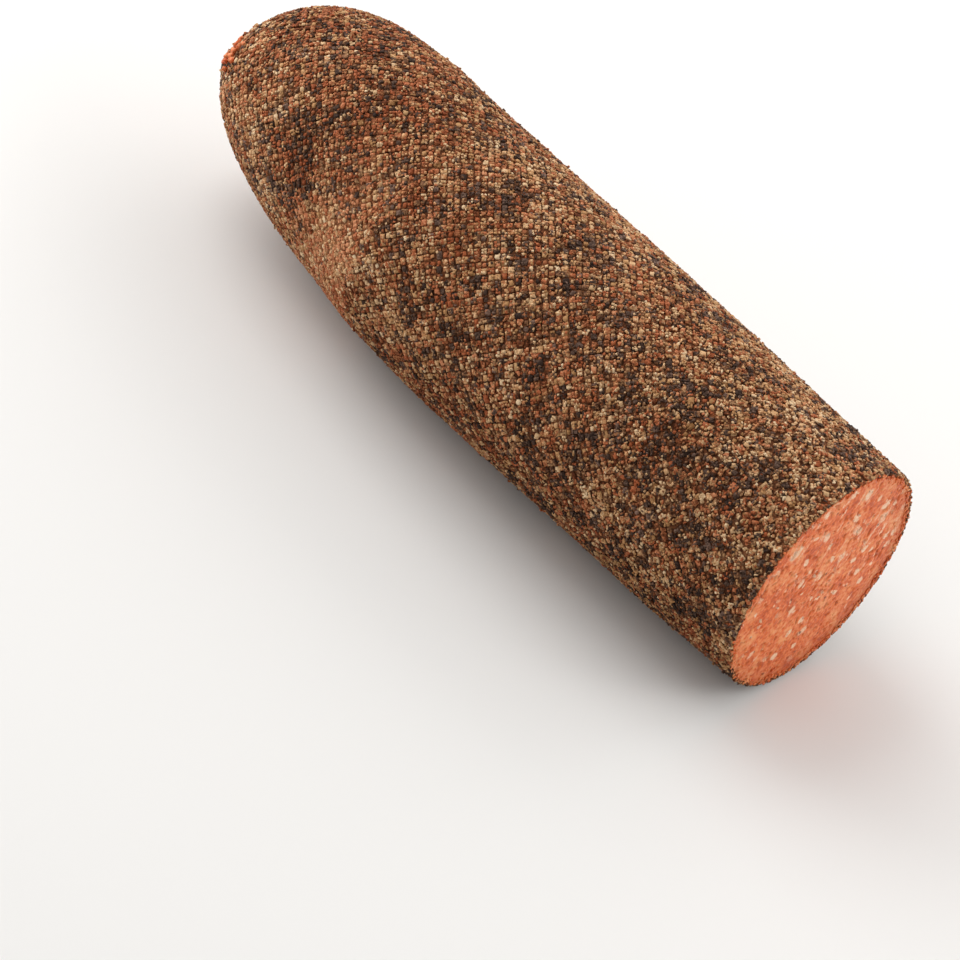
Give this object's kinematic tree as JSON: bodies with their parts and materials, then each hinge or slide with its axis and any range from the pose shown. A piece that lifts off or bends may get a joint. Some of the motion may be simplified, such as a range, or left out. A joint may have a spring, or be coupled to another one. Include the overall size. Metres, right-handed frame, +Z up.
{
  "type": "peppered salami",
  "caption": "Log of cured sausage in a thin cracked-pepper coat, rounded at one end and cut across at the other, lying on its side.",
  "frame": {"origin": "middle of the log's footprint, on the surface that it lies on", "axes": "+X along the log from its rounded end to its cut end, +Z up"},
  "size_m": [0.2106, 0.0666, 0.0651],
  "materials": {
    "sausage_meat": "moist, finely minced, cut with a knife",
    "cracked_pepper": "dry, grainy, matt"
  },
  "bodies": {
    "root": {"meat": "sausage_meat", "pepper_coat": "cracked_pepper"}
  },
  "joints": []
}
